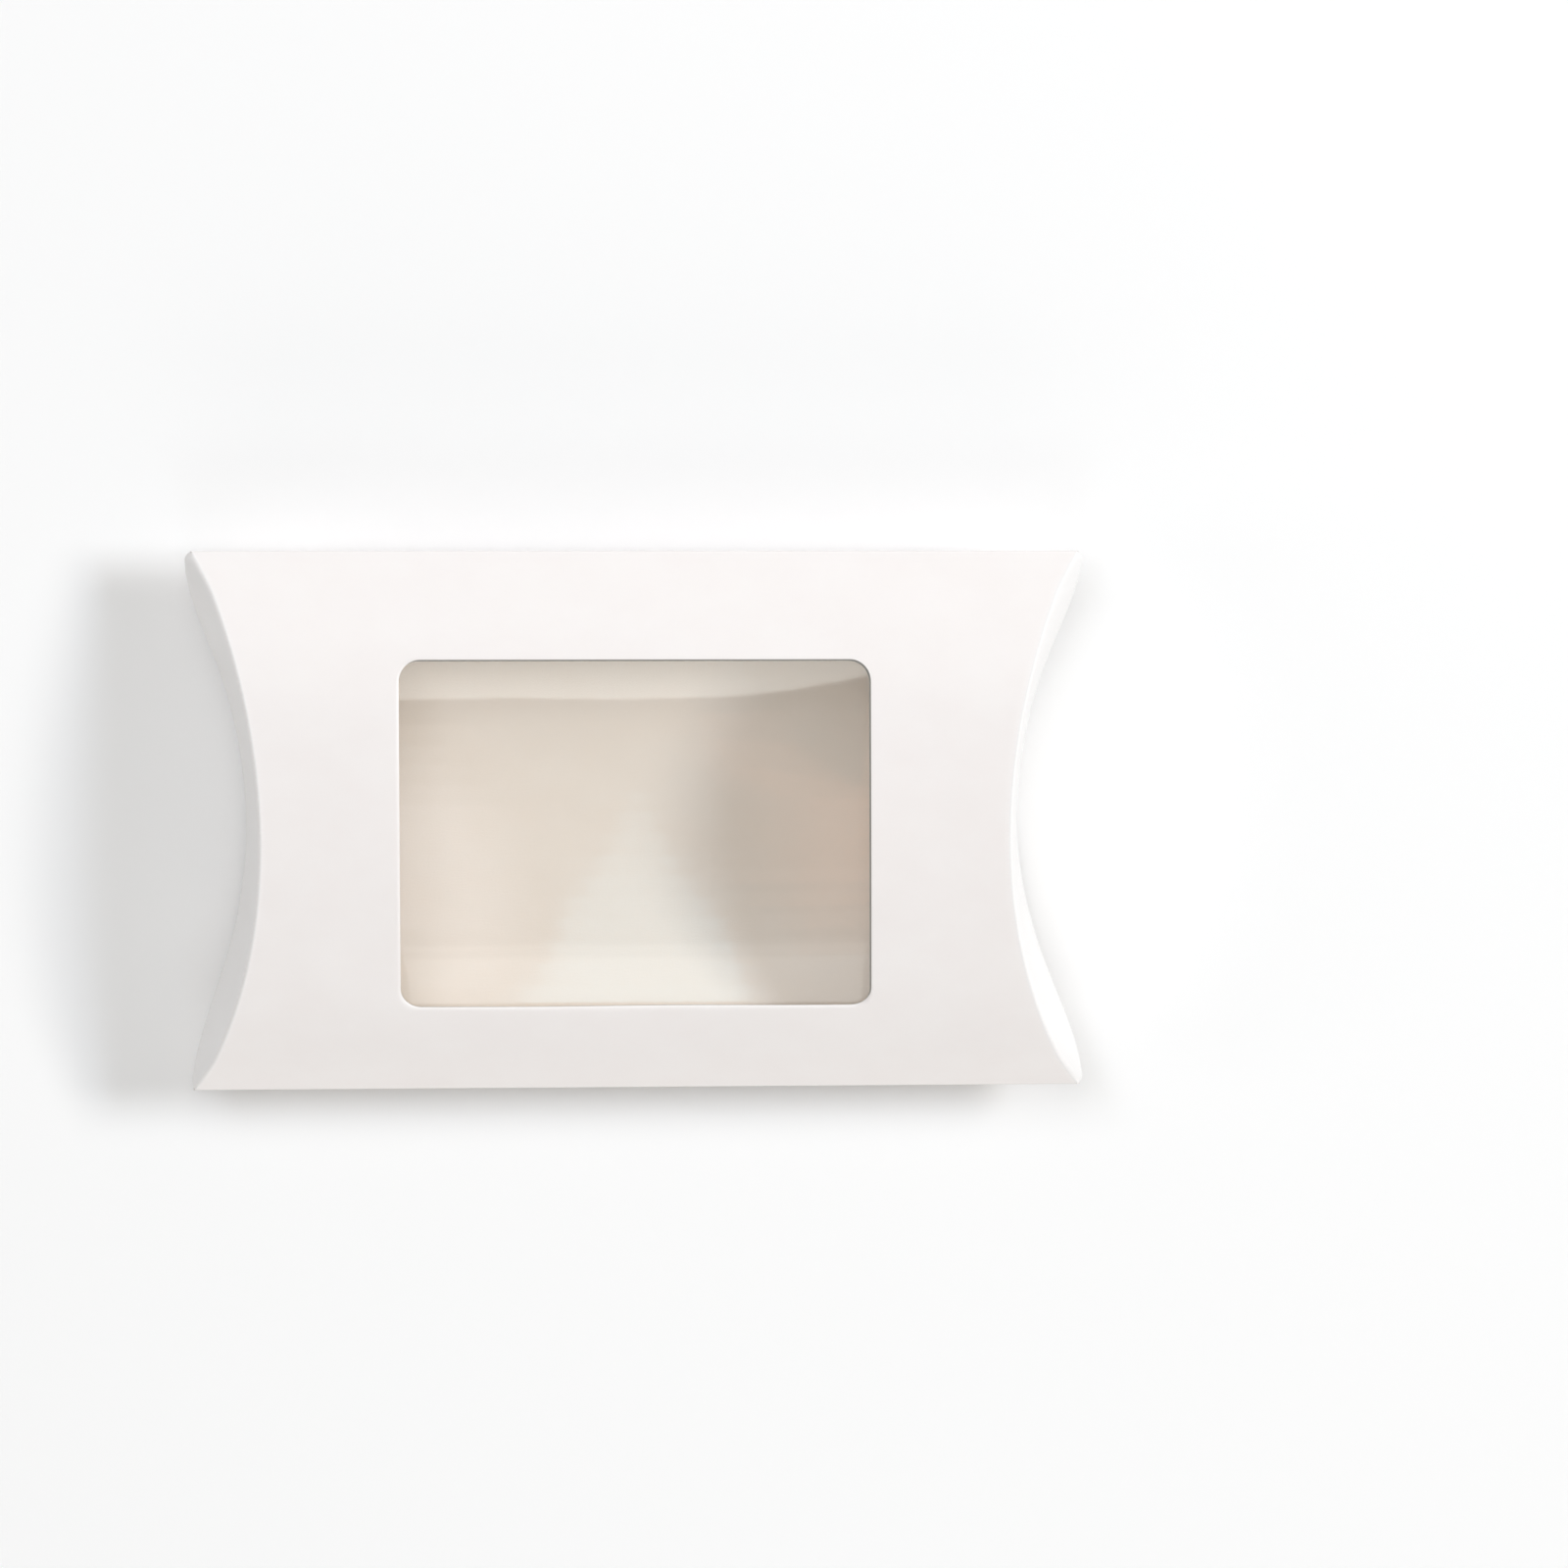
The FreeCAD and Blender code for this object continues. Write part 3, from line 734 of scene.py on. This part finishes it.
def board_outside(name, white, warm):
    """Coated board: clouded white, faint fibres, and folds rubbed paler and rougher."""
    n = Nodes(name)
    cloud = n.noise(scale=(0.11, 0.14, 0.3), detail=4.0)
    fibre = n.noise(scale=(0.9, 3.2, 1.0), detail=3.0)
    grain = n.noise(scale=(5.0, 5.0, 5.0), detail=2.0)
    tone = n.mix(n.ranged(cloud, (0.32, 0.68), (0.0, 0.42)), white, warm)
    tone = n.mix(n.ranged(fibre, (0.55, 0.8), (0.0, 0.22)), tone, warm)
    rub = n.maths("MULTIPLY", n.value("wear"), n.ranged(fibre, (0.35, 0.65), (0.25, 0.9)))
    tone = n.mix(rub, tone, BOARD_WORN)
    shader = n.principled(Coat_Weight=0.22, Coat_Roughness=0.16, Coat_IOR=1.45)
    n.link(tone, shader.inputs["Base Color"])
    rough = n.ranged(grain, (0.3, 0.7), (0.40, 0.52))
    n.link(n.maths("ADD", rough, n.maths("MULTIPLY", rub, 0.16)), shader.inputs["Roughness"])
    fine = n.bump(grain, strength=0.10, distance=0.00003)
    n.link(n.bump(fibre, strength=0.12, distance=0.00005, after=fine), shader.inputs["Normal"])
    return n.output(shader.outputs["BSDF"])


def board_inside():
    """Uncoated cream side of the board, with coarser fibres."""
    n = Nodes("board_inside")
    cloud = n.noise(scale=(0.09, 0.12, 0.3), detail=4.0)
    fibre = n.noise(scale=(0.7, 4.0, 1.0), detail=4.0, roughness=0.65)
    grain = n.noise(scale=(3.4, 3.4, 3.4), detail=3.0, roughness=0.7)
    tone = n.mix(n.ranged(cloud, (0.3, 0.7), (0.0, 0.4)), INSIDE_CREAM, INSIDE_FIBRE)
    tone = n.mix(n.ranged(fibre, (0.5, 0.78), (0.0, 0.4)), tone, INSIDE_FIBRE)
    shader = n.principled(Specular_IOR_Level=0.3)
    n.link(tone, shader.inputs["Base Color"])
    n.link(n.ranged(grain, (0.3, 0.7), (0.72, 0.9)), shader.inputs["Roughness"])
    fine = n.bump(grain, strength=0.3, distance=0.00006)
    n.link(n.bump(fibre, strength=0.25, distance=0.00008, after=fine), shader.inputs["Normal"])
    return n.output(shader.outputs["BSDF"])


def board_core():
    """Cut edge of the board, in layers, with painted shade along the window's upper and right sides."""
    n = Nodes("board_core")
    layers = n.noise(scale=(2.2, 2.2, 0.6), detail=5.0, roughness=0.7)
    shader = n.principled(Specular_IOR_Level=0.2)
    tone = n.mix(n.ranged(layers, (0.3, 0.75), (0.0, 1.0)), CORE_PALE, CORE_DARK)
    # Painted shade: the cut edge is darkened by the shade value at the window's upper and right sides
    n.link(n.mix(n.value("shade"), tone, CORE_PAINTED_SHADE), shader.inputs["Base Color"])
    n.link(n.ranged(layers, (0.3, 0.7), (0.8, 0.95)), shader.inputs["Roughness"])
    n.link(n.bump(layers, strength=0.5, distance=0.00008), shader.inputs["Normal"])
    return n.output(shader.outputs["BSDF"])


def clear_film():
    """Clear film that mirrors a little, and more at a glancing view."""
    n = Nodes("clear_film")
    ripple = n.noise(scale=(0.06, 0.1, 0.1), detail=2.0)
    haze = n.noise(scale=(0.8, 0.8, 0.8), detail=3.0)
    gloss = n.principled(Base_Color=(*FILM_GLOSS, 1.0), Metallic=1.0)
    n.link(n.ranged(haze, (0.3, 0.7), (0.03, 0.07)), gloss.inputs["Roughness"])
    n.link(n.bump(ripple, strength=0.03, distance=0.0004), gloss.inputs["Normal"])
    clear = n.add("ShaderNodeBsdfTransparent")
    clear.inputs["Color"].default_value = (*FILM_CLEAR, 1.0)
    glance = n.add("ShaderNodeLayerWeight")
    glance.inputs["Blend"].default_value = 0.5
    edge = n.maths("POWER", glance.outputs["Facing"], FILM_GLANCE)
    mixed = n.add("ShaderNodeMixShader")
    n.link(n.ranged(edge, (0.0, 1.0), (FILM_SHINE, 1.0)), mixed.inputs["Fac"])
    n.link(clear.outputs["BSDF"], mixed.inputs[1])
    n.link(gloss.outputs["BSDF"], mixed.inputs[2])
    return n.output(mixed.outputs["Shader"])


def dried_glue():
    """Blotched white adhesive."""
    n = Nodes("dried_glue")
    blot = n.noise(scale=(0.5, 0.5, 0.5), detail=4.0)
    shader = n.principled(Specular_IOR_Level=0.4)
    n.link(n.mix(n.ranged(blot, (0.35, 0.65), (0.0, 1.0)), GLUE_PALE, GLUE_DARK), shader.inputs["Base Color"])
    n.link(n.ranged(blot, (0.3, 0.7), (0.3, 0.5)), shader.inputs["Roughness"])
    n.link(n.bump(blot, strength=0.4, distance=0.0001), shader.inputs["Normal"])
    return n.output(shader.outputs["BSDF"])


def floor_surface():
    """Plain matt paper."""
    n = Nodes("floor_paper")
    place = n.add("ShaderNodeTexCoord")
    texture = n.add("ShaderNodeTexNoise")
    texture.inputs["Scale"].default_value = 3.0
    n.link(place.outputs["Object"], texture.inputs["Vector"])
    shader = n.principled(Specular_IOR_Level=0.1, Roughness=0.9)
    n.link(n.mix(texture.outputs["Fac"], FLOOR_PALE, FLOOR_WHITE), shader.inputs["Base Color"])
    return n.output(shader.outputs["BSDF"])


panel_face = board_outside("board_outside", BOARD_WHITE, BOARD_WARM)
# Painted shade: the flaps' copy of the same board, coloured greyer and less pink than the panel
flap_face = board_outside("board_outside_flap_shaded", FLAP_SHADED_WHITE, FLAP_SHADED_WARM)
inside_face, cut_face = board_inside(), board_core()
panel_faces, flap_faces = (panel_face, inside_face, cut_face), (flap_face, inside_face, cut_face)
film_faces, glue_faces = (clear_film(),) * 3, (dried_glue(),) * 3

# Pieces
for piece, node, slot in (
    (front_panel(panel_faces), "front_panel", "board"),
    (back_panel(panel_faces), "back_panel", "board"),
    (glue_tab(panel_faces), "glue_tab", "board"),
    (seam_glue(glue_faces), "seam_glue", "adhesive"),
    (film(film_faces), "window_film", "film"),
    (window_glue(glue_faces), "window_glue", "adhesive"),
):
    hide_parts(node)
    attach(piece, "sleeve")

for side_name, end in (("left", -1), ("right", 1)):
    for layer, outer_flap, bend in (("outer", True, OUTER_BEND), ("inner", False, INNER_BEND)):
        name = f"{side_name}_{layer}"
        piece = flap(f"{name}_board", end, outer_flap, flap_faces)
        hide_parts(f"{name}_flap")
        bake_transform(piece)

# Floor, in metres from here on
FLOOR_HALF = 3.0
FLOOR_DROP = 0.0002        # floor below the box, so that their faces don't meet
floor_corners = [(x * FLOOR_HALF, y * FLOOR_HALF, -FLOOR_DROP)
                 for x, y in ((-1, -1), (1, -1), (1, 1), (-1, 1))]
floor_mesh = bpy.data.meshes.new("floor")
floor_mesh.from_pydata(floor_corners, [], [(0, 1, 2, 3)])
floor_mesh.materials.append(floor_surface())
floor = bpy.data.objects.new("floor", floor_mesh)
bpy.context.scene.collection.objects.link(floor)

# Light
WORLD_COLOUR, WORLD_STRENGTH = (1.0, 0.98, 0.927), 0.331
MIDDLE = MID_HEIGHT * MM
COOL, WHITE, WARM, AQUA = (0.9, 0.92, 1.0), (1.0, 1.0, 1.0), (1.0, 0.5, 0.3), (0.4, 0.8, 1.0)
STRIP_DISTANCE = 0.6       # strips and cards that the film mirrors, from the box
STRIPS = 10
STRIP_START, STRIP_SPAN = math.radians(8), math.radians(4.5)    # angle down from overhead, and of one strip
STRIP_WIDTH = 0.036        # of the last and broadest strip
STRIP_DIM, STRIP_GAIN = 0.6, 1.0    # radiance of a narrow strip, and what the broadest has more
LEFT_OUT, RIGHT_OUT = -0.044, 0.040    # outer edges of the cards, past the window
LOW_CARD_DISTANCE = 0.8
LOW_CARD_FALLS = (math.radians(48), math.radians(50.5))
LOW_CARD_SIZE, LOW_CARD_RADIANCE = (0.5, 0.22), 0.46

world = bpy.data.worlds.new("studio")
bpy.context.scene.world = world
world.use_nodes = True
background = world.node_tree.nodes["Background"]
background.inputs["Color"].default_value = (*WORLD_COLOUR, 1.0)
background.inputs["Strength"].default_value = WORLD_STRENGTH


def lamp(name, place, size, radiance, colour, aim_x=0.0):
    """Rectangular soft light that faces the box, by the brightness of its face."""
    data = bpy.data.lights.new(name, "AREA")
    data.shape = "RECTANGLE"
    data.size, data.size_y = size
    data.energy = radiance * math.pi * size[0] * size[1]
    data.color = colour
    light = bpy.data.objects.new(name, data)
    light.location = place
    aim = Vector((aim_x, 0, MIDDLE)) - Vector(place)
    light.rotation_euler = aim.to_track_quat("-Z", "Y").to_euler()
    bpy.context.scene.collection.objects.link(light)


def low_place(x, fall, distance):
    """A place towards -Y, at an angle down from overhead."""
    return (x, -distance * math.sin(fall), MIDDLE + distance * math.cos(fall))


def card(name, edges, falls, radiance, colour):
    """A dim card of light between two edges along X and two angles down from overhead, in degrees."""
    x = sum(edges) / 2
    middle, span = math.radians(sum(falls) / 2), math.radians(falls[1] - falls[0])
    size = (edges[1] - edges[0], span * STRIP_DISTANCE)
    lamp(name, low_place(x, middle, STRIP_DISTANCE), size, radiance, colour, x)


lamp("key", (1.59, 0.63, 1.045), (0.90, 0.225), 25.7, (1.0, 0.99, 0.965))
lamp("high_key", (1.50, 0.675, 1.27), (0.75, 0.225), 20.2, (0.82, 0.89, 1.0))
lamp("overhead", (0.0, 0.76, 1.29), (0.3, 1.16), 2.3, (0.99, 1.0, 0.97))
lamp("upper_left", (-0.45, 0.76, 1.25), (0.5, 0.9), 3.68, (0.895, 0.926, 1.0))
lamp("left_fill", (-1.30, 0.0, 0.48), (0.5, 0.35), 2.4, WHITE)
lamp("front_fill", (0.0, -1.25, 0.37), (1.2, 0.3), 2.32, (1.0, 0.965, 0.925))
for number in range(STRIPS):
    share = (number + 1) / STRIPS
    fall = STRIP_START + STRIP_SPAN * (number + 0.5)
    lamp(f"strip_{number}", low_place(0.0, fall, STRIP_DISTANCE),
         (STRIP_WIDTH * share, STRIP_SPAN * STRIP_DISTANCE), STRIP_DIM + STRIP_GAIN * share, AQUA)
card("left_card_0", (LEFT_OUT, -0.030), (-2.0, 38.0), 0.345, COOL)
card("left_card_1", (LEFT_OUT, -0.026), (2.0, 42.0), 0.285, COOL)
card("left_card_2", (LEFT_OUT, -0.022), (6.0, 50.0), 0.285, COOL)
card("left_card_3", (LEFT_OUT, -0.018), (10.0, 54.0), 0.285, COOL)
for number, edge in enumerate((-0.0305, -0.0295, -0.0285, -0.0275)):
    card(f"left_edge_{number}", (LEFT_OUT, edge), (-8.0, 56.0), 0.37, WHITE)
for number, (edge, falls) in enumerate((
    (0.015, (-8.0, 28.0)),
    (0.019, (-3.0, 33.0)),
    (0.023, (2.0, 38.0)),
    (0.027, (7.0, 43.0)),
)):
    card(f"right_card_{number}", (edge, RIGHT_OUT), falls, 0.29, WARM)
for number, (edge, first) in enumerate(((0.010, 24.0), (0.013, 29.0), (0.016, 34.0), (0.019, 39.0))):
    card(f"right_low_{number}", (edge, RIGHT_OUT), (first, 58.0), 0.19, WHITE)
for number, fall in enumerate(LOW_CARD_FALLS):
    place = low_place(0.0, fall, LOW_CARD_DISTANCE)
    lamp(f"low_card_{number}", place, LOW_CARD_SIZE, LOW_CARD_RADIANCE, WHITE)

# Camera
YAW, PITCH, ROLL = math.radians(0.2), math.radians(18.4), math.radians(0.16)
VIEW_DISTANCE = 4.7
PIXELS_PER_MM = 7.194
PHOTO = 1600               # side of the picture in pixels
BOX_PIXEL = (648.4, 835.4)    # middle of the box in the picture
SENSOR = 36.0
CLIP_END = 100.0
turn = Matrix.Rotation(ROLL, 3, "Z") @ Matrix.Rotation(PITCH, 3, "X") @ Matrix.Rotation(YAW, 3, "Y")
aim = Vector(((PHOTO / 2 - BOX_PIXEL[0]) / PIXELS_PER_MM * MM,
              (BOX_PIXEL[1] - PHOTO / 2) / PIXELS_PER_MM * MM, VIEW_DISTANCE))
camera_data = bpy.data.cameras.new("camera")
camera_data.sensor_width = SENSOR
camera_data.lens = SENSOR * PIXELS_PER_MM * VIEW_DISTANCE / MM / PHOTO
camera_data.clip_end = CLIP_END
camera = bpy.data.objects.new("camera", camera_data)
back_turn = turn.transposed()
camera_place = Vector((0, 0, MIDDLE)) + back_turn @ aim
camera.matrix_world = Matrix.Translation(camera_place) @ back_turn.to_4x4()
bpy.context.scene.collection.objects.link(camera)
bpy.context.scene.camera = camera
bpy.context.scene.view_settings.view_transform = "Standard"
